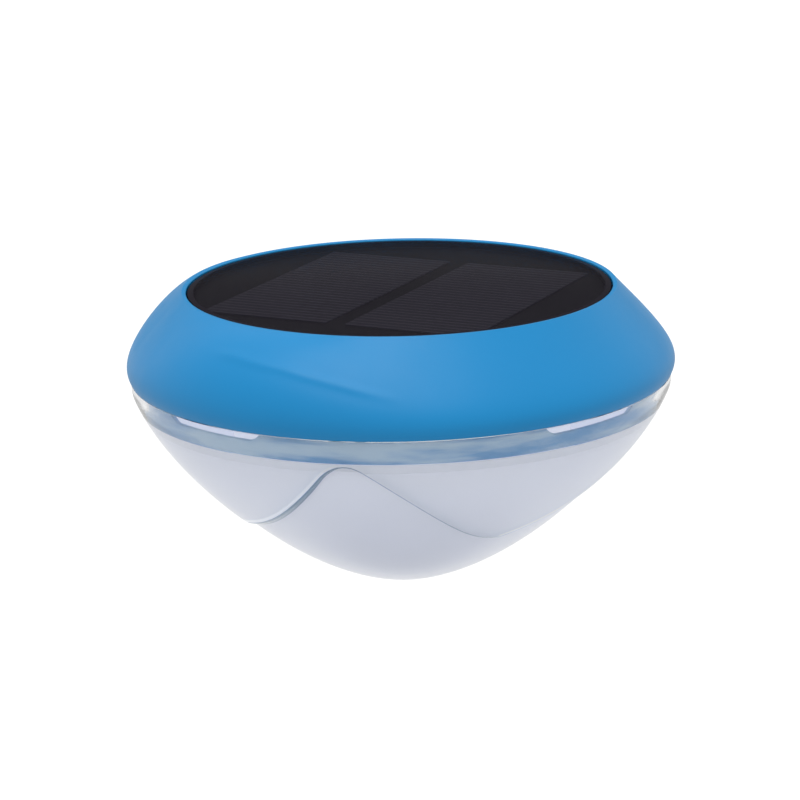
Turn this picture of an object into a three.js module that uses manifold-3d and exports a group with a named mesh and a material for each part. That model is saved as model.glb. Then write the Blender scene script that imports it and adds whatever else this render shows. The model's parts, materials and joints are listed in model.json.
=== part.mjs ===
// Floating solar pool light, in millimetres, +Z up.
// The origin is where the light's axis passes through the water surface when it floats.
// Heights inside the light are measured from the seam, the level plane where the cover meets
// the bowl. Angles run round the light from the front (-Y) towards +X.
import * as THREE from 'three';
import { mergeVertices } from 'three/addons/utils/BufferGeometryUtils.js';
import Module from 'manifold-3d';

const wasm = await Module();
wasm.setup();

// ---- driving dimensions ----
const seamAboveWater = 20;
const seamRadius = 81.2;
const windowBore = 63.7;
const rimHeight = 25.7;
const bowlDepth = 65.3;
const fitGap = 0.3;
const thinGap = 0.2;

// Cover: the wall's shoulder stands higher where a wave crests.
const shoulderLow = 10.7;
const shoulderHigh = 22.3;
const waveCrests = [-38, -128, -218];
const waveHalfWidth = 50;
const skirtBore = 79;
const skirtTop = 6;
const ledgeBore = 58.5;
const ledgeTop = 20.3;
const ledgeThickness = 2;
const rimWallRadius = 65.9;
const bossTop = 15.6;

// Bowl: a raised skin above a wavy line that repeats four times.
const bowlWall = 2.2;
const neckRadius = 77.4;
const neckBore = 75.2;
const neckTop = 5.3;
const raisedSkin = 0.8;
const sunkSkin = 0.75;
const creaseWidth = 2.4;
const crestAngle = -14;
const cuspAngle = 30.5;
const crestLevel = -9.4;
const cuspLevel = -39;
const diffuserGap = 0.4;
const diffuserWall = 1.2;
const diffuserTop = -8;

// Bayonet between the bowl's neck and the cover's skirt.
const bayonetCount = 4;
const lugWidth = 16;
const ledgeWidth = 24;
const lugRadius = 78.7;
const lockLedgeBore = 77.8;

// Housing for the battery and electronics, hanging under the cover.
const housingRadius = 50;
const housingWall = 2;
const housingFloor = -20;
const flangeRadius = 76.6;
const flangeBottom = 6.4;
const flangeThickness = 2;
const guideRadius = 74.6;
const guideBore = 73.4;
const guideBottom = -7.2;
const guideNotchBottom = -3.2;
const guideNotchWidth = 34;
const housingScrewCount = 4;
const housingScrewCircle = 69;

// Solar panel under the window.
const windowRadius = 63.3;
const windowTop = 25.3;
const windowThickness = 1.5;
const cellWidth = 40.5;
const cellLength = 85;
const cellGap = 6;
const cellTurn = -26;

// Battery bay, lamp and button.
const batteryY = 10;
const batteryZ = -8;
const batteryRadius = 9.2;
const batteryLength = 65;
const bayLength = 72;
const bayWidth = 20;
const doorLength = 88;
const doorWidth = 24;
const doorThickness = 2;
const doorScrewX = 40;
const lampY = -24;
const lampOpening = 11;
const lampBoardTop = -10;
const buttonX = 24;
const buttonY = -22;
const buttonRadius = 4;

const roundSegments = 48;
const rad = THREE.MathUtils.degToRad;

// ---- materials ----
const finish = (color, roughness, metalness = 0) => (
  new THREE.MeshStandardMaterial({ color, roughness, metalness })
);
const bluePlastic = finish(0x3d92d0, 0.45);
const clearPlastic = finish(0xdfe8ee, 0.1);
const frostedPlastic = finish(0xe9edf0, 0.6);
const whitePlastic = finish(0xe6e6ea, 0.5);
const blackRubber = finish(0x1c1d1f, 0.8);
const whiteSilicone = finish(0xe4e6e4, 0.7);
const windowPlastic = finish(0x2b2c30, 0.2);
const cellSilicon = finish(0x24242b, 0.35, 0.1);
const blackBoard = finish(0x191a1c, 0.6);
const greenBoard = finish(0x1f5f3a, 0.5);
const whiteBoard = finish(0xf0f0ec, 0.5);
const blackPlastic = finish(0x222326, 0.55);
const steel = finish(0xb4b6ba, 0.3, 1);
const nickel = finish(0xc9c8c4, 0.35, 1);
const batteryFilm = finish(0x2f6fb0, 0.4);
const ledBody = finish(0xf3efcf, 0.4);
const copperWire = finish(0xb8682f, 0.4, 1);
const redLead = finish(0xc0262b, 0.5);
const blackLead = finish(0x1a1a1b, 0.5);

// ---- geometry helpers ----

// Merges a geometry's shared corners and drops the slivers that close up at a pole.
function joined(geometry) {
  const plain = geometry.clone();
  plain.deleteAttribute('normal');
  plain.deleteAttribute('uv');
  const merged = mergeVertices(plain, 1e-5);
  const corners = merged.index.array;
  const kept = [];
  for (let i = 0; i < corners.length; i += 3) {
    const [a, b, c] = [corners[i], corners[i + 1], corners[i + 2]];
    if (a !== b && b !== c && c !== a) {
      kept.push(a, b, c);
    }
  }
  merged.setIndex(kept);
  return merged;
}

function solid(geometry) {
  const closed = joined(geometry);
  return new wasm.Manifold(new wasm.Mesh({
    numProp: 3,
    vertProperties: new Float32Array(closed.attributes.position.array),
    triVerts: new Uint32Array(closed.index.array),
  }));
}

function geometryOf(body) {
  const mesh = body.getMesh();
  const geometry = new THREE.BufferGeometry();
  geometry.setAttribute('position', new THREE.BufferAttribute(mesh.vertProperties, 3));
  geometry.setIndex(new THREE.BufferAttribute(mesh.triVerts, 1));
  return geometry;
}

// Joins the added shapes to the first one, then cuts the removed shapes out of it.
function shaped(base, added = [], removed = []) {
  let body = solid(base);
  for (const shape of added) {
    body = body.add(solid(shape));
  }
  for (const shape of removed) {
    body = body.subtract(solid(shape));
  }
  return geometryOf(body);
}

// Turns a closed outline about Z. outlineAt(angle) lists the outline's [radius, height] points
// at that angle, so a wall can swell and sink on its way round.
function turned(outlineAt, segments = roundSegments) {
  const count = outlineAt(0).length;
  const blank = Array.from({ length: count }, (_, i) => new THREE.Vector2(1, i));
  const geometry = new THREE.LatheGeometry(blank, segments);
  const position = geometry.attributes.position;
  for (let i = 0; i <= segments; i += 1) {
    const degrees = ((i % segments) * 360) / segments;
    const [east, north] = [Math.sin(rad(degrees)), -Math.cos(rad(degrees))];
    outlineAt(degrees).forEach(([radius, height], j) => {
      position.setXYZ(i * count + j, radius * east, radius * north, height);
    });
  }
  return joined(geometry);
}

// A flat ring, as a seal or gasket is before it is squeezed.
function ring(inner, outer, bottom, top, segments = roundSegments) {
  const outline = [[inner, bottom], [outer, bottom], [outer, top], [inner, top], [inner, bottom]];
  return turned(() => outline, segments);
}

function rod(radius, bottom, top, x = 0, y = 0, segments = 20) {
  const geometry = new THREE.CylinderGeometry(radius, radius, top - bottom, segments);
  geometry.rotateX(Math.PI / 2);
  geometry.translate(x, y, (bottom + top) / 2);
  return geometry;
}

function block(length, width, bottom, top, x = 0, y = 0) {
  const geometry = new THREE.BoxGeometry(length, width, top - bottom);
  geometry.translate(x, y, (bottom + top) / 2);
  return geometry;
}

// A block bent round the axis, centred on an angle.
function arcBlock(inner, outer, bottom, top, middle, width) {
  const from = rad(middle - 90 - width / 2);
  const to = rad(middle - 90 + width / 2);
  const outline = new THREE.Shape();
  outline.absarc(0, 0, outer, from, to, false);
  outline.absarc(0, 0, inner, to, from, true);
  const settings = { depth: top - bottom, bevelEnabled: false, curveSegments: 2 };
  const geometry = new THREE.ExtrudeGeometry(outline, settings);
  geometry.translate(0, 0, bottom);
  return geometry;
}

// A six-sided wire along a smooth curve through the given points.
function wire(points, radius, steps) {
  const path = new THREE.CatmullRomCurve3(points.map((point) => new THREE.Vector3(...point)));
  const section = new THREE.Shape();
  section.absarc(0, 0, radius, 0, Math.PI * 2, false);
  return new THREE.ExtrudeGeometry(section, { steps, extrudePath: path, curveSegments: 3 });
}

// A pan-head screw standing head down, its neck going up.
function screw(headRadius, neckRadiusOfScrew, headBottom, headTop, neckEnd, x, y) {
  const outline = [
    [0, headBottom],
    [headRadius * 0.8, headBottom],
    [headRadius, headTop],
    [neckRadiusOfScrew, headTop],
    [neckRadiusOfScrew, neckEnd - 0.8],
    [0, neckEnd],
  ];
  const geometry = turned(() => outline, 8);
  geometry.translate(x, y, 0);
  return geometry;
}

// Points along a cubic curve of [radius, height] corners, each set in from it by a distance.
function curvePoints(corners, count, setIn = 0) {
  const curve = new THREE.CubicBezierCurve(...corners.map((c) => new THREE.Vector2(...c)));
  return Array.from({ length: count + 1 }, (_, i) => {
    const point = curve.getPoint(i / count);
    const along = curve.getTangent(i / count);
    return [Math.max(point.x - along.y * setIn, 0), point.y + along.x * setIn];
  });
}

// ---- cover ----

// How far the cover's shoulder is raised at an angle: 1 at a crest, 0 between waves.
function waveAt(degrees) {
  let height = 0;
  for (const crest of waveCrests) {
    const away = Math.abs(((degrees - crest + 540) % 360) - 180) / waveHalfWidth;
    if (away < 1) {
      height = Math.max(height, Math.cos((away * Math.PI) / 2) ** 2);
    }
  }
  return height;
}

function coverOutline(degrees) {
  const wave = waveAt(degrees);
  const outside = curvePoints([
    [seamRadius, 0],
    [84.6 + 1.2 * wave, 5.8 + 1.1 * wave],
    [78.2, shoulderLow + (shoulderHigh - shoulderLow) * wave],
    [64.9, rimHeight],
  ], 9);
  const inside = [
    [windowBore + 0.2, rimHeight],
    [windowBore, rimHeight - 0.2],
    [windowBore, ledgeTop],
    [ledgeBore, ledgeTop],
    [ledgeBore, ledgeTop - ledgeThickness],
    [rimWallRadius, ledgeTop - ledgeThickness],
    [rimWallRadius, 21],
    [69.6, 16.8],
    [76.3, 9],
    [skirtBore, skirtTop],
    [skirtBore, 0],
    [seamRadius, 0],
  ];
  return [...outside, ...inside];
}

function spread(count, start = 0) {
  return Array.from({ length: count }, (_, i) => start + (i * 360) / count);
}

function around(radius, degrees) {
  return [radius * Math.sin(rad(degrees)), -radius * Math.cos(rad(degrees))];
}

function coverGeometry() {
  const lockLedges = spread(bayonetCount, 45).map((angle) => (
    arcBlock(lockLedgeBore, skirtBore + 1, 0.6, 2.2, angle, ledgeWidth)
  ));
  const bossBottom = flangeBottom + flangeThickness + fitGap;
  const bosses = spread(housingScrewCount).map((angle) => (
    rod(3.2, bossBottom, bossTop, ...around(housingScrewCircle, angle), 12)
  ));
  const pilots = spread(housingScrewCount).map((angle) => (
    rod(1.5, bossBottom - 1, bossTop - 2, ...around(housingScrewCircle, angle), 8)
  ));
  return shaped(turned(coverOutline), [...lockLedges, ...bosses], pilots);
}

// ---- bowl and diffuser ----

const bowlCorners = [[0, -bowlDepth], [27.2, -bowlDepth], [73.5, -27.9], [seamRadius, -fitGap]];

// Height of the wavy line at an angle: a slow swell up to a crest, then a straight fall to a
// sharp cusp, four times round.
function waveLine(degrees) {
  const quarter = 90;
  const turn = (((degrees - cuspAngle) % quarter) + quarter) % quarter;
  const rise = quarter - (cuspAngle - crestAngle);
  if (turn < rise) {
    const part = turn / rise;
    return cuspLevel + (crestLevel - cuspLevel) * part ** 1.9;
  }
  const part = (turn - rise) / (quarter - rise);
  return crestLevel + (cuspLevel - crestLevel) * Math.sin((part * Math.PI) / 2) ** 1.4;
}

function smooth(from, to, value) {
  const part = Math.min(Math.max((value - from) / (to - from), 0), 1);
  return part * part * (3 - 2 * part);
}

// How far the skin stands out of the mean curve at a height and angle.
function skinAt(height, degrees) {
  const line = waveLine(degrees);
  const above = smooth(line - creaseWidth, line, height);
  const raised = raisedSkin * smooth(0, -4, height);
  const sunk = sunkSkin * smooth(0, -4, height) * smooth(-58, -30, height);
  return above * (raised + sunk) - sunk;
}

function bowlOutline(degrees) {
  const mean = curvePoints(bowlCorners, 13);
  const outside = mean.map(([radius, height]) => {
    const skin = radius > 0 ? skinAt(height, degrees) : 0;
    return [radius + skin * 0.75, height - skin * 0.5];
  });
  const inside = curvePoints(bowlCorners, 9, bowlWall).reverse();
  const lining = inside.filter(([radius]) => radius < neckBore - 0.5);
  return [
    ...outside,
    [neckRadius, -fitGap],
    [neckRadius, neckTop - 0.4],
    [neckRadius - 0.4, neckTop],
    [neckBore, neckTop],
    [neckBore, -9.6],
    ...lining,
  ];
}

function bowlGeometry() {
  const lugs = spread(bayonetCount, 45).map((angle) => (
    arcBlock(neckRadius - 0.6, lugRadius, 2.6, 4.2, angle, lugWidth)
  ));
  return shaped(turned(bowlOutline), lugs);
}

function diffuserGeometry() {
  const outerSetIn = bowlWall + diffuserGap;
  const innerSetIn = outerSetIn + diffuserWall;
  const outerBrim = neckBore - diffuserGap;
  const outside = curvePoints(bowlCorners, 9, outerSetIn).filter(([radius]) => radius < outerBrim);
  const brimBottom = outside.at(-1)[1] + 0.8;
  const inside = curvePoints(bowlCorners, 9, innerSetIn)
    .filter(([radius, height]) => radius < outerBrim - diffuserWall && height < diffuserTop)
    .reverse();
  return turned(() => [
    ...outside,
    [outerBrim, Math.max(brimBottom, -10)],
    [outerBrim, diffuserTop],
    [outerBrim - diffuserWall, diffuserTop],
    ...inside,
  ]);
}

// ---- housing ----

function housingGeometry() {
  const inner = housingRadius - housingWall;
  const floorTop = housingFloor + housingWall;
  const flangeTop = flangeBottom + flangeThickness;
  const cup = turned(() => [
    [0, housingFloor],
    [housingRadius - 1.5, housingFloor],
    [housingRadius, housingFloor + 1.5],
    [housingRadius, flangeBottom],
    [flangeRadius, flangeBottom],
    [flangeRadius, flangeTop],
    [inner, flangeTop],
    [inner, floorTop],
    [0, floorTop],
  ]);
  const doorBosses = [-doorScrewX, doorScrewX].map((x) => rod(3, floorTop - 1, -11, x, batteryY, 10));
  const lampPosts = [-15, 15].map((x) => rod(2.4, floorTop - 1, -11.4, x, lampY, 10));
  const screwHoles = spread(housingScrewCount).map((angle) => (
    rod(1.8, flangeBottom - 1, flangeTop + 1, ...around(housingScrewCircle, angle), 8)
  ));
  const doorPilots = [-doorScrewX, doorScrewX].map((x) => (
    rod(1.3, housingFloor - 1, -13, x, batteryY, 8)
  ));
  const lampPilots = [-15, 15].map((x) => rod(1, -16, -11, x, lampY, 8));
  return shaped(cup, [...doorBosses, ...lampPosts], [
    ...screwHoles,
    ...doorPilots,
    ...lampPilots,
    block(bayLength, bayWidth, housingFloor - 1, floorTop + 1, 0, batteryY),
    rod(lampOpening, housingFloor - 1, floorTop + 1, 0, lampY, 24),
    rod(buttonRadius + fitGap, housingFloor - 1, floorTop + 1, buttonX, buttonY, 16),
  ]);
}

function doorGeometry() {
  const top = housingFloor - 0.8;
  const plate = block(doorLength, doorWidth, top - doorThickness, top, 0, batteryY);
  const plug = block(bayLength - 3, bayWidth - 3, top - 0.5, housingFloor + 1.2, 0, batteryY);
  const holes = [-doorScrewX, doorScrewX].map((x) => rod(1.7, top - 4, top + 1, x, batteryY, 8));
  return shaped(plate, [plug], holes);
}

function doorGasketGeometry() {
  const bottom = housingFloor - 0.7;
  const top = housingFloor - 0.1;
  const outside = block(bayLength + 3.4, bayWidth + 3.4, bottom, top, 0, batteryY);
  const hole = block(bayLength + 0.4, bayWidth + 0.4, bottom - 1, top + 1, 0, batteryY);
  return shaped(outside, [], [hole]);
}

// ---- battery bay ----

function cradleGeometry() {
  const outer = bayWidth / 2 + 0.8;
  const bore = batteryRadius + fitGap;
  const outline = new THREE.Shape();
  outline.moveTo(-outer, -2);
  outline.lineTo(-bore, -2);
  outline.lineTo(-bore, 0);
  outline.absarc(0, 0, bore, Math.PI, 0, true);
  outline.lineTo(bore, -2);
  outline.lineTo(outer, -2);
  outline.lineTo(outer, bore + 1.3);
  outline.lineTo(-outer, bore + 1.3);
  outline.closePath();
  const length = bayLength - 2;
  const settings = { depth: length, bevelEnabled: false, curveSegments: 6 };
  const saddle = new THREE.ExtrudeGeometry(outline, settings);
  saddle.translate(0, 0, -length / 2);
  saddle.rotateX(Math.PI / 2);
  saddle.rotateZ(Math.PI / 2);
  saddle.translate(0, batteryY, batteryZ);
  const ends = [-1, 1].map((side) => (
    block(1.6, 2 * outer, batteryZ - 8, batteryZ + bore + 1.3, side * (length / 2 + 0.4), batteryY)
  ));
  const pilots = [-30, 30].map((x) => rod(0.9, batteryZ + bore - 0.2, 4, x, batteryY + 9, 8));
  return shaped(saddle, ends, pilots);
}

function batteryGeometry() {
  const half = batteryLength / 2;
  const outline = [
    [0, -half],
    [batteryRadius - 0.6, -half],
    [batteryRadius, -half + 0.6],
    [batteryRadius, half - 2.2],
    [batteryRadius - 0.6, half - 1.6],
    [3, half - 1.6],
    [3, half],
    [0, half],
  ];
  const geometry = turned(() => outline, 20);
  geometry.rotateY(Math.PI / 2);
  geometry.translate(0.8, batteryY, batteryZ);
  return geometry;
}

function springGeometry() {
  const turns = 2.5;
  const coil = Array.from({ length: 31 }, (_, i) => {
    const part = i / 30;
    const angle = part * turns * Math.PI * 2;
    const radius = 5 - 2 * part;
    return [
      -34.3 + 2.1 * part,
      batteryY + radius * Math.cos(angle),
      batteryZ + radius * Math.sin(angle),
    ];
  });
  return wire(coil, 0.25, 40);
}

// ---- lamp and button ----

function lightWindowGeometry() {
  const bottom = housingFloor - 0.3;
  const seat = housingFloor + housingWall + 0.2;
  const spigot = lampOpening - fitGap;
  const outline = [
    [0, bottom],
    [spigot - 0.5, bottom],
    [spigot, bottom + 0.5],
    [spigot, seat],
    [spigot + 1.8, seat],
    [spigot + 1.8, seat + 1],
    [0, seat + 1],
  ];
  const geometry = turned(() => outline, 24);
  geometry.translate(0, lampY, 0);
  return geometry;
}

function buttonGeometry() {
  const outline = [
    [0, housingFloor - 2.4],
    [buttonRadius - 0.6, housingFloor - 2.4],
    [buttonRadius, housingFloor - 1.8],
    [buttonRadius, housingFloor + 2.3],
    [buttonRadius + 1.2, housingFloor + 2.3],
    [buttonRadius + 1.2, housingFloor + 3.1],
    [1.4, housingFloor + 3.1],
    [1.4, housingFloor + 5.1],
    [0, housingFloor + 5.1],
  ];
  const geometry = turned(() => outline, 16);
  geometry.translate(buttonX, buttonY, 0);
  return geometry;
}

function switchGeometry() {
  const body = block(7, 7, -15.1, lampBoardTop - 1.4, buttonX, buttonY);
  const bore = rod(1.7, -16, -13, buttonX, buttonY, 8);
  return shaped(body, [], [bore]);
}

// ---- assembly ----

const light = new THREE.Group();
const aboveSeam = new THREE.Group();
aboveSeam.position.z = seamAboveWater;
light.add(aboveSeam);

function piece(name, geometry, material, parent = aboveSeam) {
  const mesh = new THREE.Mesh(geometry, material);
  mesh.name = name;
  parent.add(mesh);
  return mesh;
}

function addPanel() {
  const panel = new THREE.Group();
  panel.rotation.z = rad(cellTurn);
  aboveSeam.add(panel);
  const windowBottom = windowTop - windowThickness;
  piece('panel_window', turned(() => [
    [0, windowBottom],
    [windowRadius, windowBottom],
    [windowRadius, windowTop - 0.2],
    [windowRadius - 0.2, windowTop],
    [0, windowTop],
  ]), windowPlastic);
  const boardBottom = ledgeTop + 1;
  const boardTop = boardBottom + 1.6;
  piece('window_seal', ring(62, 63.2, boardTop + thinGap, windowBottom - thinGap), blackRubber);
  piece('solar_board', rod(63.2, boardBottom, boardTop, 0, 0, roundSegments), blackBoard);
  piece('board_gasket', ring(59, 63.2, ledgeTop + thinGap, boardBottom - thinGap), blackRubber);
  const cellCentre = (cellWidth + cellGap) / 2;
  const cellBottom = boardTop + thinGap;
  for (const [side, name] of [[-1, 'solar_cell_left'], [1, 'solar_cell_right']]) {
    const cell = block(cellWidth, cellLength, cellBottom, cellBottom + fitGap, side * cellCentre);
    piece(name, cell, cellSilicon, panel);
  }
}

// A skirt under the flange that centres the bowl's neck, notched clear of the bayonet.
function guideGeometry() {
  const top = flangeBottom - thinGap;
  const notches = spread(bayonetCount, 45).map((angle) => (
    arcBlock(guideBore - 1, guideRadius + 1, guideNotchBottom, top + 1, angle, guideNotchWidth)
  ));
  return shaped(ring(guideBore, guideRadius, guideBottom, top), [], notches);
}

function addHousing() {
  piece('inner_housing', housingGeometry(), whitePlastic);
  piece('guide_skirt', guideGeometry(), bluePlastic);
  spread(housingScrewCount).forEach((angle, i) => {
    const place = around(housingScrewCircle, angle);
    const shape = screw(2.9, 1.25, flangeBottom - 2, flangeBottom - thinGap, bossTop - 2.4, ...place);
    piece(`housing_screw_${i + 1}`, shape, steel);
  });
  piece('battery_door', doorGeometry(), whitePlastic);
  piece('door_gasket', doorGasketGeometry(), blackRubber);
  const doorBottom = housingFloor - 0.8 - doorThickness;
  [-doorScrewX, doorScrewX].forEach((x, i) => {
    const shape = screw(2.6, 1.1, doorBottom - 2, doorBottom - thinGap, -14, x, batteryY);
    piece(`door_screw_${i + 1}`, shape, steel);
  });
}

function addBattery() {
  piece('battery_cradle', cradleGeometry(), blackPlastic);
  piece('battery_cell', batteryGeometry(), batteryFilm);
  const plate = new THREE.BoxGeometry(0.4, 10, 10);
  plate.translate(34, batteryY, batteryZ);
  piece('contact_plate', plate, nickel);
  piece('contact_spring', springGeometry(), nickel);
}

function addCircuit() {
  const bottom = batteryZ + batteryRadius + fitGap + 1.6;
  const top = bottom + 1.6;
  const board = block(66, 30, bottom, top, 0, batteryY - 2);
  const holes = [-30, 30].map((x) => rod(1.2, bottom - 1, top + 1, x, batteryY + 9, 10));
  piece('circuit_board', shaped(board, [], holes), greenBoard);
  [-30, 30].forEach((x, i) => {
    const shape = screw(2, 0.8, 0, 1.3, 3.9, 0, 0);
    shape.rotateX(Math.PI);
    shape.translate(x, batteryY + 9, top + thinGap + 1.3);
    piece(`board_screw_${i + 1}`, shape, steel);
  });
  piece('driver_chip', block(8, 6, top + thinGap, top + 1.8, -10, 6), blackPlastic);
  const inductor = ring(1.6, 4, top + thinGap, top + 4, 16);
  inductor.translate(8, 4, 0);
  piece('inductor_coil', inductor, copperWire);
}

function addLamp() {
  piece('light_window', lightWindowGeometry(), clearPlastic);
  const bottom = lampBoardTop - 1.2;
  const board = block(50, 17, bottom, lampBoardTop, 6, lampY + 0.5);
  const holes = [-15, 15].map((x) => rod(1.3, bottom - 1, lampBoardTop + 1, x, lampY, 10));
  piece('lamp_board', shaped(board, [], holes), whiteBoard);
  [-15, 15].forEach((x, i) => {
    const shape = screw(2, 0.8, 0, 1.3, 4.5, 0, 0);
    shape.rotateX(Math.PI);
    shape.translate(x, lampY, lampBoardTop + thinGap + 1.3);
    piece(`lamp_screw_${i + 1}`, shape, steel);
  });
  [[-4, -4], [4, -4], [-4, 4], [4, 4]].forEach(([x, y], i) => {
    const shape = block(5, 5, bottom - 1.6, bottom - thinGap, x, lampY + y);
    piece(`led_${i + 1}`, shape, ledBody);
  });
  piece('push_switch', switchGeometry(), blackPlastic);
  piece('power_button', buttonGeometry(), whiteSilicone);
  const seal = ring(buttonRadius + fitGap, buttonRadius + 2, housingFloor - 0.9, housingFloor - 0.2, 16);
  seal.translate(buttonX, buttonY, 0);
  piece('button_seal', seal, blackRubber);
}

function addLeads() {
  for (const [side, colour, material] of [[1, 'red', redLead], [-1, 'black', blackLead]]) {
    piece(`solar_lead_${colour}`, wire([
      [side * 6, 30, ledgeTop + 0.6],
      [side * 6, 30, 15],
      [side * 8, 26, 9],
      [side * 8, 18, 9],
      [side * 8, 15, 5.1],
    ], 0.6, 9), material);
    piece(`lamp_lead_${colour}`, wire([
      [side * 5, -5, 2.8],
      [side * 5, -6, -1],
      [side * 5, -11, -5],
      [side * 5, -18, -6],
      [side * 5, -19, lampBoardTop + thinGap],
    ], 0.6, 9), material);
    piece(`battery_lead_${colour}`, wire([
      [side * 36.6, batteryY, -5],
      [side * 38.6, batteryY, -3],
      [side * 38, batteryY, 4],
      [side * 34, batteryY, 9],
      [side * 29, batteryY, 8],
      [side * 27, batteryY, 5.1],
    ], 0.6, 12), material);
  }
}

piece('top_cover', coverGeometry(), bluePlastic);
addPanel();
addHousing();
addBattery();
addCircuit();
addLamp();
addLeads();
piece('bowl', bowlGeometry(), clearPlastic);
const sealTop = flangeBottom - thinGap;
piece('bowl_seal', ring(neckBore + 0.1, 76.5, neckTop + thinGap, sealTop), blackRubber);
piece('diffuser', diffuserGeometry(), frostedPlastic);

export default light;
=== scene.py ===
"""A floating solar pool light: a blue cover with a round panel window over a clear, wavy bowl."""
import json
import math

import bmesh
import bpy
import numpy as np
from mathutils import Matrix, Vector


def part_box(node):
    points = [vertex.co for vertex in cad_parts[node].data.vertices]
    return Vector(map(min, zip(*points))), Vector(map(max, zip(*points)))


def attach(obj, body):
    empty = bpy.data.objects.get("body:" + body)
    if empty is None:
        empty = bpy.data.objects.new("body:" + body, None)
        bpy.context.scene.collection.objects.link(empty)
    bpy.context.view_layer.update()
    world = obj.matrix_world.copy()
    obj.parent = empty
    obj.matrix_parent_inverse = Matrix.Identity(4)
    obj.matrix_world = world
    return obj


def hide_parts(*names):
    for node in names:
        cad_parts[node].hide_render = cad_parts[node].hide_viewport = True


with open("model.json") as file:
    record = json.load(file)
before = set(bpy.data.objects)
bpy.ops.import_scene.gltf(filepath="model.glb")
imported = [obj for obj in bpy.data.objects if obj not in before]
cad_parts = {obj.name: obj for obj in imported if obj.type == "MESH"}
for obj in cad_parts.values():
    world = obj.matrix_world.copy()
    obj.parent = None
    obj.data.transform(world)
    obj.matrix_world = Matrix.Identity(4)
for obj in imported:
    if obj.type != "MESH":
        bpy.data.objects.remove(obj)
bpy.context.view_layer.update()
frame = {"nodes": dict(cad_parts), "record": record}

# ---- driving dimensions, in millimetres; heights are measured from the seam ----
MM = 0.001
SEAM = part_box("top_cover")[0].z
SEAM_RADIUS = 81.2
WINDOW_BORE = 63.7
RIM_HEIGHT = 25.7
BOWL_DEPTH = 65.3
BRIM_GAP = 0.12
AROUND = 360
FIRST_ANGLE = 0.5
SHARP_CORNER = math.radians(35)

# Cover: the shoulder stands higher where a wave crests, and a fine fold runs down one wave.
SHOULDER_LOW = 10.7
SHOULDER_HIGH = 22.3
WAVE_CRESTS = (-38, -128, -218)
WAVE_HALF_WIDTH = 50
SKIRT_BORE = 79
LEDGE_BORE = 58.5
LEDGE_TOP = 20.3
LEDGE_THICKNESS = 2
PANEL_WALL_RADIUS = 65.9
COVER_ROWS = 80
FOLD_LIFT = 0.34
FOLD_WIDTH = 1.2
FOLD_FROM = -37
FOLD_TO = -12
FOLD_FADE_IN = 10
FOLD_FADE_OUT = 14

# Bowl: the skin stands out above a wavy line that repeats four times.
BOWL_WALL = 2.2
NECK_RADIUS = 77.4
NECK_BORE = 75.2
NECK_TOP = 5.3
RAISED_SKIN = 0.8
SUNK_SKIN = 0.75
CREST_ANGLE = -13.4
CUSP_ANGLE = 30.5
CREST_LEVEL = -5.0
CUSP_LEVEL = -38.6
CREST_ROUNDING = 4.2
LINE_BEVEL = 0.014
LOWER_ROWS = 40
BEVEL_ROWS = 5
EDGE_ROWS = 3
EDGE_STEP = 0.005
UPPER_ROWS = 28
LINING_ROWS = 60

# Diffuser: bonded to the bowl's lining. Guide: the notched skirt inside the bowl's neck.
DIFFUSER_TOP = -7.3
DIFFUSER_WALL = 1.6
DIFFUSER_ROWS = 48
BOND = 0.05
GUIDE_RADIUS = 74.6
GUIDE_BORE = 73.4
GUIDE_TOP = 6.2
GUIDE_BOTTOM = -7.2
NOTCH_BOTTOM = -3.2
NOTCH_HALF_WIDTH = 17
NOTCH_EASE_FROM = -6
NOTCH_EASE_TO = 2

# Studio: light levels, and in metres the floor and the card below the bowl's tip.
WORLD_ROUND = 0.96
WORLD_TOP = 1.25
BACKDROP_SHADE = 0.75
CARD_DARK = (0.3, 0.3, 0.31, 1)
CARD_LIGHT = (0.88, 0.88, 0.88, 1)
FLOOR_RADIUS = 12.0
FLOOR_DROP = 0.15
CARD_RADIUS = 6.0
CARD_DROP = 0.12

# Panel
WINDOW_RADIUS = 63.3
WINDOW_TOP = 25.3
WINDOW_THICKNESS = 1.5
WINDOW_TINT = 0.5
BORDER_FROM = 2.2
BORDER_TO = 1.6
CELL_TURN = math.radians(-26)
FINGER_PITCH = 3.0
FINGER_WIDTH = 0.45


# ---- shader maths ----
class Value:
    """A shader socket that Python sums work on; each operator adds its Math node."""

    def __init__(self, graph, socket):
        self.graph = graph
        self.socket = socket

    def maths(self, operation, first, second=0.0):
        return self.graph.add("Math", {"operation": operation}, {0: first, 1: second})

    def __add__(self, other):
        return self.maths("ADD", self, other)

    def __mul__(self, other):
        return self.maths("MULTIPLY", self, other)

    def __pow__(self, other):
        return self.maths("POWER", self, other)

    def __mod__(self, other):
        return self.maths("FLOORED_MODULO", self, other)

    def __lt__(self, other):
        return self.maths("LESS_THAN", self, other)

    def __radd__(self, other):
        return self.maths("ADD", other, self)

    def __rsub__(self, other):
        return self.maths("SUBTRACT", other, self)

    def __rmul__(self, other):
        return self.maths("MULTIPLY", other, self)


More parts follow.
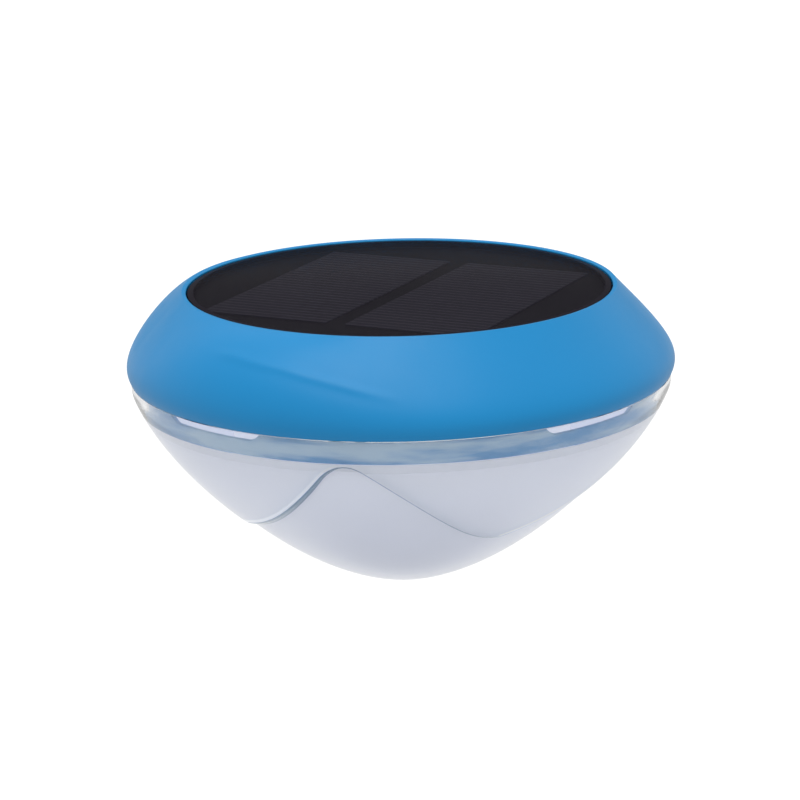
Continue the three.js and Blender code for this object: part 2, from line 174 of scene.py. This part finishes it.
class Graph:
    """A node tree, with the one method that adds a node to it."""

    def __init__(self, tree, shader):
        self.tree = tree
        self.shader = tree.nodes[shader]

    def add(self, kind, settings=None, sockets=None, output=0):
        node = self.tree.nodes.new("ShaderNode" + kind)
        for setting, value in (settings or {}).items():
            setattr(node, setting, value)
        for socket, value in (sockets or {}).items():
            if isinstance(value, Value):
                self.tree.links.new(value.socket, node.inputs[socket])
            else:
                node.inputs[socket].default_value = value
        return Value(self, node.outputs[output])

    def axis(self, vector, name):
        return self.add("SeparateXYZ", None, {0: vector}, name)

    def step(self, value, start, end):
        """Rises smoothly from 0 to 1 as the value goes from start to end."""
        sockets = {"Value": value, "From Min": start, "From Max": end}
        return self.add("MapRange", {"interpolation_type": "SMOOTHSTEP"}, sockets)

    def link(self, socket, value):
        self.tree.links.new(value.socket, self.shader.inputs[socket])


class Finish(Graph):
    """One material: a Principled shader and the patterns that feed it."""

    def __init__(self, name, **constants):
        self.material = bpy.data.materials.new(name)
        self.material.use_nodes = True
        super().__init__(self.material.node_tree, "Principled BSDF")
        for socket, value in constants.items():
            self.shader.inputs[socket.replace("_", " ")].default_value = value

    def place(self, turn=0.0):
        """Object coordinates in metres, turned about Z."""
        here = self.add("TexCoord", output="Object")
        return self.add("Mapping", None, {"Vector": here, "Rotation": (0, 0, turn)})

    def radius(self, place):
        """Distance from the Z axis."""
        return (self.axis(place, "X") ** 2 + self.axis(place, "Y") ** 2) ** 0.5

    def noise(self, vector, scale, detail=3.0):
        return self.add("TexNoise", None, {"Vector": vector, "Scale": scale, "Detail": detail})

    def blend(self, factor, low, high):
        sockets = {"Factor": factor, 6: low, 7: high}
        return self.add("Mix", {"data_type": "RGBA"}, sockets, 2)

    def bump(self, height, distance, strength=1.0):
        sockets = {"Height": height, "Distance": distance, "Strength": strength}
        self.link("Normal", self.add("Bump", None, sockets))


def tone(red, green, blue):
    """A linear shader colour from 0-255 display values."""
    def straight(value):
        part = value / 255
        return part / 12.92 if part <= 0.04045 else ((part + 0.055) / 1.055) ** 2.4
    return (straight(red), straight(green), straight(blue), 1.0)


def moulded(name, colour, roughness, grain=0.00002, grain_scale=2600, mottle=0.05, **constants):
    """Moulded plastic: a faint mottle in the colour, a varied sheen and a fine spark grain."""
    finish = Finish(name, **constants)
    here = finish.place()
    cloud = finish.noise(here, 22)
    dark = tuple(part * (1 - mottle) for part in colour[:3]) + (1.0,)
    light = tuple(min(part * (1 + mottle), 1.0) for part in colour[:3]) + (1.0,)
    finish.link("Base Color", finish.blend(cloud, dark, light))
    finish.link("Roughness", roughness - 0.04 + 0.08 * finish.noise(here, 160))
    finish.bump(finish.noise(here, grain_scale, 2), grain)
    return finish.material


def clear_plastic():
    """Polished clear plastic with the faint ripples of a thick moulding. Its edge line is painted: a
    dark tint on the bevel as painted shade, and a faint emission above a rise as a painted
    highlight.
    """
    finish = Finish("clear_plastic", Roughness=0.03, IOR=1.49, Transmission_Weight=1.0,
                    Emission_Strength=1.0)
    here = finish.place()
    stretched = finish.add("Mapping", None, {"Vector": here, "Scale": (1, 1, 2.5)})
    finish.bump(finish.noise(stretched, 45, 2), 0.00012, 0.5)
    tint = finish.blend(finish.noise(here, 12), (0.975, 0.985, 0.995, 1), (0.99, 0.995, 1, 1))
    painted_shade_and_highlight = finish.add("Attribute", {"attribute_name": "painted_shade_and_highlight"}, output="Fac")
    # Painted shade: where the attribute is 1, the bevel's colour is tinted dark blue-grey.
    shaded = finish.step(painted_shade_and_highlight, 0.0, 1.0)
    finish.link("Base Color", finish.blend(shaded, tint, (0.1, 0.19, 0.28, 1)))
    # Painted highlight: where the attribute is -1, the plastic glows with a faint white emission.
    painted_highlight = finish.step(0 - painted_shade_and_highlight, 0.0, 1.0)
    finish.link("Emission Color", finish.blend(painted_highlight, (0, 0, 0, 1), (0.16, 0.16, 0.16, 1)))
    return finish.material


def guide_plastic():
    """Pale blue plastic with a flow-line bump, and pale streaks painted into its colour round the
    skirt as painted highlights for streaks of light in the clear neck.
    """
    finish = Finish("guide_blue", Specular_IOR_Level=0.5)
    here = finish.place()
    flow = finish.add("Mapping", None, {"Vector": here, "Scale": (1, 1, 7)})
    # Painted highlight: the pale streaks in the colour stand for streaks of light in the clear neck.
    painted_highlight_streak = finish.step(finish.noise(flow, 34, 4), 0.36, 0.66)
    finish.link("Base Color", finish.blend(painted_highlight_streak, tone(96, 166, 224), tone(192, 221, 246)))
    finish.link("Roughness", 0.3 + 0.15 * finish.noise(here, 160))
    finish.bump(finish.noise(flow, 60, 2), 0.0002)
    return finish.material


def frosted_plastic():
    """Milky plastic that glows with a faint constant emission, painted light that brightens the
    liner.
    """
    # The emission colour is painted light: a faint bluish glow, though the liner is no lamp.
    finish = Finish("frosted_plastic", IOR=1.3, Transmission_Weight=0.06,
                    Emission_Strength=1.0, Emission_Color=(0.14, 0.15, 0.168, 1))
    here = finish.place()
    cloud = finish.noise(here, 18)
    finish.link("Base Color", finish.blend(cloud, tone(228, 231, 243), tone(235, 238, 249)))
    finish.link("Roughness", 0.55 + 0.15 * finish.noise(here, 300))
    finish.bump(finish.noise(here, 1800, 2), 0.00003)
    return finish.material


def window_plastic():
    """Smoke-tinted plastic, opaque in a printed border round its edge."""
    finish = Finish("window_plastic", Specular_IOR_Level=0.004)
    here = finish.place()
    border = finish.step(finish.radius(here), (WINDOW_RADIUS - BORDER_FROM) * MM,
                         (WINDOW_RADIUS - BORDER_TO) * MM)
    finish.link("Alpha", WINDOW_TINT + (1 - WINDOW_TINT) * border)
    smoke = finish.blend(finish.noise(here, 30), tone(26, 24, 30), tone(31, 29, 35))
    finish.link("Base Color", smoke)
    finish.link("Roughness", 0.18 + 0.06 * finish.noise(here, 240))
    finish.bump(finish.noise(here, 900, 2), 0.00002)
    return finish.material


def cell_silicon():
    """Dark silicon crossed by fine silver finger lines that run across the cell."""
    finish = Finish("cell_silicon", IOR=1.5, Specular_IOR_Level=0.3)
    here = finish.place(-CELL_TURN)
    finger = (finish.axis(here, "Y") % (FINGER_PITCH * MM)) < FINGER_WIDTH * MM
    body = finish.blend(finish.noise(here, 60), tone(86, 83, 100), tone(98, 95, 112))
    finish.link("Base Color", finish.blend(finger, body, tone(168, 168, 186)))
    finish.link("Roughness", 0.35 + 0.1 * finish.noise(here, 200))
    finish.link("Metallic", 0.6 * finger)
    return finish.material


# ---- curves ----
def curve_at(corners, part):
    """Point and unit tangent of a cubic curve of (radius, height) corners."""
    a, b, c, d = (Vector(corner) for corner in corners)
    rest = 1 - part
    point = a * rest**3 + b * 3 * rest**2 * part + c * 3 * rest * part**2 + d * part**3
    along = (b - a) * rest**2 + (c - b) * 2 * rest * part + (d - c) * part**2
    return point, along.normalized()


def curve_points(corners, count, set_in=0.0):
    """Points along a curve, moved inwards by set_in but never past the axis."""
    found = []
    for i in range(count + 1):
        point, along = curve_at(corners, i / count)
        found.append((max(point.x - along.y * set_in, 0.0), point.y + along.x * set_in))
    return found


def smooth(start, end, value):
    """Rises smoothly from 0 to 1 as the value goes from start to end."""
    part = min(max((value - start) / (end - start), 0.0), 1.0)
    return part * part * (3 - 2 * part)


# ---- mesh helpers ----
def finished(name, bm, material, body, node):
    """Makes the object that stands for a CAD node from a bmesh: outward faces, and smooth
    shading with sharp corners."""
    bmesh.ops.recalc_face_normals(bm, faces=bm.faces)
    for edge in bm.edges:
        edge.smooth = not (edge.is_manifold and edge.calc_face_angle() > SHARP_CORNER)
    for face in bm.faces:
        face.smooth = True
    mesh = bpy.data.meshes.new(name)
    bm.to_mesh(mesh)
    bm.free()
    mesh.materials.append(material)
    piece = bpy.data.objects.new(name, mesh)
    bpy.context.scene.collection.objects.link(piece)
    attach(piece, body)
    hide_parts(node)


def turned(outline_at, painted_light_at=None):
    """Spins a closed outline about Z. outline_at(degrees) gives its (radius, height) points
    in millimetres at each angle, so that a wall can swell and sink on its way round.
    The optional second function gives, for a row at an angle, the painted shade and highlight value
    that the mesh keeps in an attribute."""
    bm = bmesh.new()
    place = bm.verts.layers.int.new("place")
    painted_shade_and_highlight = bm.verts.layers.float.new("painted_shade_and_highlight")
    corners = []
    start = math.radians(FIRST_ANGLE)
    for i, (radius, height) in enumerate(outline_at(FIRST_ANGLE)):
        place_at = (radius * MM * math.sin(start), -radius * MM * math.cos(start))
        corner = bm.verts.new((*place_at, height * MM + SEAM))
        corner[place] = i
        corners.append(corner)
    edges = [bm.edges.new(pair) for pair in zip(corners, corners[1:] + corners[:1])]
    bmesh.ops.spin(bm, geom=corners + edges, cent=(0, 0, 0), axis=(0, 0, 1),
                   angle=math.tau, steps=AROUND, use_merge=True)
    outlines = {}
    for vert in bm.verts:
        if math.hypot(vert.co.x, vert.co.y) < 1e-7:
            continue
        angle = math.atan2(vert.co.x, -vert.co.y)
        key = round(math.degrees(angle), 3)
        if key not in outlines:
            outlines[key] = outline_at(key)
        radius, height = outlines[key][vert[place]]
        vert.co = (radius * MM * math.sin(angle), -radius * MM * math.cos(angle),
                   height * MM + SEAM)
        if painted_light_at:
            vert[painted_shade_and_highlight] = painted_light_at(vert[place], key)
    bmesh.ops.remove_doubles(bm, verts=bm.verts, dist=1e-7)
    return bm


# ---- cover ----
def wave_at(degrees):
    """How far the cover's shoulder is raised: 1 at a crest, 0 between waves."""
    height = 0.0
    for crest in WAVE_CRESTS:
        away = abs((degrees - crest + 540) % 360 - 180) / WAVE_HALF_WIDTH
        if away < 1:
            height = max(height, math.cos(away * math.pi / 2) ** 2)
    return height


def fold_at(degrees):
    """Height of the fine fold on the falling side of a wave, and how far it stands out."""
    height = float(np.interp(degrees, (-38, -25, -13.5, -8, 4), (19.7, 18, 15.1, 13.4, 9.5)))
    fade_in = smooth(FOLD_FROM - FOLD_FADE_IN, FOLD_FROM, degrees)
    fade_out = smooth(FOLD_TO, FOLD_TO + FOLD_FADE_OUT, degrees)
    return height, fade_in * (1 - fade_out)


def cover_outline(degrees):
    """The shell's outside, its lip round the window, then its inside down to the skirt."""
    wave = wave_at(degrees)
    corners = (
        (SEAM_RADIUS, 0.1),
        (84.6 + 1.2 * wave, 5.8 + 1.1 * wave),
        (78.2, SHOULDER_LOW + (SHOULDER_HIGH - SHOULDER_LOW) * wave),
        (64.9, RIM_HEIGHT),
    )
    fold, strength = fold_at(((degrees + 180) % 360) - 180)
    outside = []
    for i in range(COVER_ROWS + 1):
        point, along = curve_at(corners, i / COVER_ROWS)
        away = (point.y - fold) / FOLD_WIDTH
        lift = FOLD_LIFT * strength * math.exp(-away * away)
        outside.append((point.x + along.y * lift, point.y - along.x * lift))
    return outside + [
        (64.5, RIM_HEIGHT - 0.02),
        (64.1, RIM_HEIGHT - 0.06),
        (63.85, RIM_HEIGHT - 0.16),
        (WINDOW_BORE, RIM_HEIGHT - 0.34),
        (WINDOW_BORE, LEDGE_TOP),
        (LEDGE_BORE, LEDGE_TOP),
        (LEDGE_BORE, LEDGE_TOP - LEDGE_THICKNESS),
        (PANEL_WALL_RADIUS, LEDGE_TOP - LEDGE_THICKNESS),
        (PANEL_WALL_RADIUS, 21),
        (69.6, 16.8),
        (76.3, 9),
        (SKIRT_BORE, 6),
        (SKIRT_BORE, 0.3),
        (SKIRT_BORE + 0.3, 0),
        (SEAM_RADIUS - 0.15, 0),
    ]


# ---- bowl ----
BOWL_CORNERS = ((0, -BOWL_DEPTH), (27.2, -BOWL_DEPTH), (73.5, -27.9), (SEAM_RADIUS, -BRIM_GAP))
BOWL_TABLE = [curve_at(BOWL_CORNERS, i / 400)[0].y for i in range(401)]
LINING = [point for point in curve_points(BOWL_CORNERS, LINING_ROWS, BOWL_WALL)
          if point[0] < NECK_BORE - 0.3]
NECK_FOOT = LINING[-1][1] + 0.45


def wave_line(degrees):
    """Height of the bowl's wavy line at an angle, rounded everywhere but at the cusps."""
    turn = (degrees - CUSP_ANGLE) % 90
    reach = min(CREST_ROUNDING, turn, 90 - turn)
    return sum(sharp_line(turn + reach * step / 3) for step in range(-3, 4)) / 7


def sharp_line(turn):
    """A rise that steepens up to a crest, then a fall that levels out at the next cusp."""
    rise = 90 - (CUSP_ANGLE - CREST_ANGLE)
    if turn < rise:
        part = turn / rise
        return CUSP_LEVEL + (CREST_LEVEL - CUSP_LEVEL) * (0.35 * part + 0.65 * part**3.2)
    part = (turn - rise) / (90 - rise)
    return CREST_LEVEL + (CUSP_LEVEL - CREST_LEVEL) * math.sin(part * math.pi / 2) ** 1.15


def swell_at(degrees):
    """1 where the line rises towards a crest, 0 where it falls from one."""
    turn = (degrees - CUSP_ANGLE) % 90
    return 1 - smooth(-8, 4, turn - (90 - (CUSP_ANGLE - CREST_ANGLE)))


def edge_line_painted_light(row, degrees):
    """The bowl's edge line: 1 on its bevel, which the clear plastic tints as painted shade, -1 on
    the edge above a rise, which it lights as a painted highlight.
    """
    above = row - LOWER_ROWS
    if 1 <= above <= BEVEL_ROWS:
        return 1.0
    if above in (BEVEL_ROWS + 1, BEVEL_ROWS + 2):
        return -swell_at(degrees)
    return 0.0


def bowl_outline(degrees):
    """The outside with its wavy edge, the neck that goes up into the cover, then the lining."""
    bevel = LINE_BEVEL * (1 + swell_at(degrees))
    line = float(np.interp(wave_line(degrees), BOWL_TABLE, np.linspace(0, 1, 401)))
    lower = [(line - bevel) * i / LOWER_ROWS for i in range(LOWER_ROWS + 1)]
    slope = [line - bevel * (1 - i / BEVEL_ROWS) for i in range(1, BEVEL_ROWS + 1)]
    edge = [line + EDGE_STEP * i for i in range(1, EDGE_ROWS + 1)]
    upper = [edge[-1] + (1 - edge[-1]) * i / UPPER_ROWS for i in range(1, UPPER_ROWS + 1)]
    outside = []
    for part in lower + slope + edge + upper:
        point, along = curve_at(BOWL_CORNERS, part)
        above = smooth(line - bevel, line, part)
        brim = smooth(0, -4, point.y)
        raised = RAISED_SKIN * brim
        sunk = SUNK_SKIN * brim * smooth(-58, -30, point.y)
        skin = above * (raised + sunk) - sunk
        outside.append((max(point.x + along.y * skin, 0.0), point.y - along.x * skin))
    return outside + [
        (NECK_RADIUS, -BRIM_GAP),
        (NECK_RADIUS, NECK_TOP - 0.4),
        (NECK_RADIUS - 0.4, NECK_TOP),
        (NECK_BORE + 0.4, NECK_TOP),
        (NECK_BORE, NECK_TOP - 0.4),
        (NECK_BORE, NECK_FOOT),
    ] + LINING[::-1]


def diffuser_outline(degrees):
    """A liner whose outside reaches just into the bowl's lining, the same at every angle."""
    brim = NECK_BORE + BOND
    outside = curve_points(BOWL_CORNERS, LINING_ROWS, BOWL_WALL - BOND)[:len(LINING)]
    inside = [point for point in curve_points(BOWL_CORNERS, DIFFUSER_ROWS, BOWL_WALL + DIFFUSER_WALL)
              if point[0] < brim - 1.4 and point[1] < DIFFUSER_TOP - 0.2]
    return outside + [
        (brim, NECK_FOOT),
        (brim, DIFFUSER_TOP - 0.3),
        (brim - 0.3, DIFFUSER_TOP),
        (brim - 0.9, DIFFUSER_TOP),
        (brim - 1.2, DIFFUSER_TOP - 0.3),
    ] + inside[::-1]


def guide_outline(degrees):
    """The skirt round the inside of the bowl's neck, notched four times from its top."""
    from_notch = abs((degrees % 90) - 45)
    uncut = smooth(NOTCH_EASE_FROM, NOTCH_EASE_TO, from_notch - NOTCH_HALF_WIDTH)
    top = NOTCH_BOTTOM + (GUIDE_TOP - NOTCH_BOTTOM) * uncut
    middle = (top + GUIDE_BOTTOM) / 2
    return [
        (GUIDE_RADIUS - 0.3, GUIDE_BOTTOM),
        (GUIDE_RADIUS, GUIDE_BOTTOM + 0.3),
        (GUIDE_RADIUS, middle),
        (GUIDE_RADIUS, top - 0.3),
        (GUIDE_RADIUS - 0.3, top),
        (GUIDE_BORE + 0.3, top),
        (GUIDE_BORE, top - 0.3),
        (GUIDE_BORE, middle),
        (GUIDE_BORE, GUIDE_BOTTOM + 0.3),
        (GUIDE_BORE + 0.3, GUIDE_BOTTOM),
    ]


def window_outline(degrees):
    return [
        (0, WINDOW_TOP - WINDOW_THICKNESS),
        (WINDOW_RADIUS, WINDOW_TOP - WINDOW_THICKNESS),
        (WINDOW_RADIUS, WINDOW_TOP - 0.4),
        (WINDOW_RADIUS - 0.12, WINDOW_TOP - 0.12),
        (WINDOW_RADIUS - 0.4, WINDOW_TOP),
        (0, WINDOW_TOP),
    ]


# ---- materials ----
blue = moulded("cover_blue", tone(0, 117, 172), 0.42, Specular_IOR_Level=0.26)
guide_blue = guide_plastic()
# The housing's white emission is painted light: a glow that brightens the pale patches seen through
# the bowl's neck.
housing_white = moulded("housing_white", tone(232, 231, 236), 0.5, Emission_Strength=0.24,
                        Emission_Color=(1, 1, 1, 1))
clear = clear_plastic()
frosted = frosted_plastic()
window = window_plastic()
silicon = cell_silicon()
rubber = moulded("seal_black", tone(28, 29, 32), 0.75)
board_black = moulded("board_black", tone(18, 18, 22), 0.6)
board_green = moulded("board_green", tone(28, 92, 58), 0.4)
board_white = moulded("board_white", tone(238, 238, 232), 0.45)
plastic_black = moulded("plastic_black", tone(34, 35, 38), 0.5)
steel = moulded("screw_steel", tone(190, 192, 196), 0.28, Metallic=1.0)
nickel = moulded("contact_nickel", tone(206, 204, 198), 0.3, Metallic=1.0)
film = moulded("battery_film", tone(44, 108, 172), 0.3)
led = moulded("led_body", tone(244, 236, 190), 0.35)
copper = moulded("inductor_copper", tone(186, 108, 52), 0.35, Metallic=1.0)
lead_red = moulded("lead_red", tone(190, 36, 40), 0.45)
lead_black = moulded("lead_black", tone(26, 26, 28), 0.45)
silicone = moulded("button_white", tone(226, 228, 226), 0.6)

SLOT_FINISH = {
    "cover_blue": blue, "housing_white": housing_white, "guide_blue": guide_blue,
    "window_clear": window, "cell_silicon": silicon,
    "board_black": board_black, "seal_black": rubber, "bowl_clear": clear,
    "diffuser_frosted": frosted, "board_green": board_green, "board_white": board_white,
    "plastic_black": plastic_black, "screw_steel": steel, "contact_nickel": nickel,
    "battery_film": film, "led_body": led, "inductor_copper": copper,
    "lead_red": lead_red, "lead_black": lead_black, "button_white": silicone,
}
for row in frame["record"]["subparts"]:
    node = frame["nodes"][row["node"]]
    node.data.materials.clear()
    node.data.materials.append(SLOT_FINISH[row["material_slot"]])

TOP = "cover_and_housing"
BOWL = "bowl_unit"

finished("cover_shell", turned(cover_outline), blue, TOP, "top_cover")
finished("neck_guide", turned(guide_outline), guide_blue, TOP, "guide_skirt")
finished("clear_bowl", turned(bowl_outline, painted_light_at=edge_line_painted_light), clear, BOWL, "bowl")
finished("frosted_bowl", turned(diffuser_outline), frosted, BOWL, "diffuser")
finished("window_disc", turned(window_outline), window, TOP, "panel_window")


# ---- camera ----
def add_camera():
    """Looks at the pool light from a little above, with a slight roll."""
    climb = math.radians(15.26)
    roll = math.radians(-1.242)
    distance = 0.891
    side, lift = -0.0003, -0.00984
    forward = Vector((0, math.cos(climb), -math.sin(climb)))
    right = Vector((1, 0, 0))
    up = right.cross(forward)
    tilted_right = math.cos(roll) * right + math.sin(roll) * up
    tilted_up = -math.sin(roll) * right + math.cos(roll) * up
    data = bpy.data.cameras.new("camera")
    data.sensor_width = 36
    data.lens = 133.25
    data.clip_end = 50
    camera = bpy.data.objects.new("camera", data)
    turn = Matrix((tilted_right, tilted_up, -forward)).transposed().to_4x4()
    place = Vector((0, 0, SEAM)) + side * tilted_right + lift * tilted_up - distance * forward
    camera.matrix_world = Matrix.Translation(place) @ turn
    bpy.context.scene.collection.objects.link(camera)
    bpy.context.scene.camera = camera


def add_disc(name, radius, drop, finish):
    """A flat disc of the studio's, centred under the bowl at a drop below its tip."""
    bm = bmesh.new()
    bmesh.ops.create_circle(bm, cap_ends=True, segments=96, radius=radius)
    mesh = bpy.data.meshes.new(name)
    bm.to_mesh(mesh)
    bm.free()
    mesh.transform(Matrix.Translation((0, 0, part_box("bowl")[0].z - drop)))
    mesh.materials.append(finish.material)
    disc = bpy.data.objects.new(name, mesh)
    bpy.context.scene.collection.objects.link(disc)
    return disc


def add_floor():
    """A plain white floor, well below the tip, lit from within so that it takes no shadow,
    and clear from underneath so that the bowl's tip can be seen."""
    finish = Finish("floor_white", Roughness=0.9, Specular_IOR_Level=0.1,
                    Emission_Strength=0.86, Emission_Color=(1, 1, 1, 1))
    shade = finish.noise(finish.place(), 0.7)
    finish.link("Base Color", finish.blend(shade, (0.2, 0.2, 0.2, 1), (0.22, 0.22, 0.22, 1)))
    finish.link("Alpha", 1 - finish.add("NewGeometry", output="Backfacing"))
    floor = add_disc("floor", FLOOR_RADIUS, FLOOR_DROP, finish)
    floor.visible_diffuse = False
    floor.visible_glossy = False
    floor.visible_transmission = False


def add_shade_card():
    """A grey card under the bowl, darkest below the tip, that only gloss and clear plastic
    see. It keeps the bowl's edges darker than the floor behind them."""
    finish = Finish("card_grey", Roughness=1.0, Specular_IOR_Level=0.0,
                    Base_Color=(0, 0, 0, 1), Emission_Strength=1.0)
    lit = finish.step(finish.radius(finish.place()), 0.02, 0.14)
    finish.link("Emission Color", finish.blend(lit, CARD_DARK, CARD_LIGHT))
    card = add_disc("shade_card", CARD_RADIUS, CARD_DROP, finish)
    card.visible_camera = False
    card.visible_diffuse = False
    card.visible_shadow = False


def add_softbox(name, place, size, watts):
    """A round softbox, size metres across, that faces the object."""
    data = bpy.data.lights.new(name, "AREA")
    data.shape = "DISK"
    data.size = size
    data.energy = watts
    lamp = bpy.data.objects.new(name, data)
    lamp.location = place
    lamp.rotation_euler = (-Vector(place)).to_track_quat("-Z", "Y").to_euler()
    bpy.context.scene.collection.objects.link(lamp)


def add_world():
    """Soft light from all round, brightest overhead, with a dark backdrop above the table."""
    world = bpy.data.worlds.new("studio")
    world.use_nodes = True
    graph = Graph(world.node_tree, "Background")
    toward = graph.add("TexCoord", output="Generated")
    height = graph.axis(toward, "Z")
    overhead = graph.step(height, 0.5, 0.95)
    backdrop = graph.step(graph.axis(toward, "Y"), 0.78, 0.92) * graph.step(height, -0.02, 0.03)
    shaded = backdrop * (1 - graph.step(height, 0.4, 0.6))
    level = (WORLD_ROUND + (WORLD_TOP - WORLD_ROUND) * overhead) * (1 - BACKDROP_SHADE * shaded)
    graph.shader.inputs["Color"].default_value = (1, 1, 1, 1)
    graph.link("Strength", level)
    bpy.context.scene.world = world


add_camera()
add_floor()
add_shade_card()
add_softbox("top_softbox", (-0.1, -0.3, 1.0), 0.8, 6.0)
add_world()
bpy.context.scene.view_settings.view_transform = "Standard"
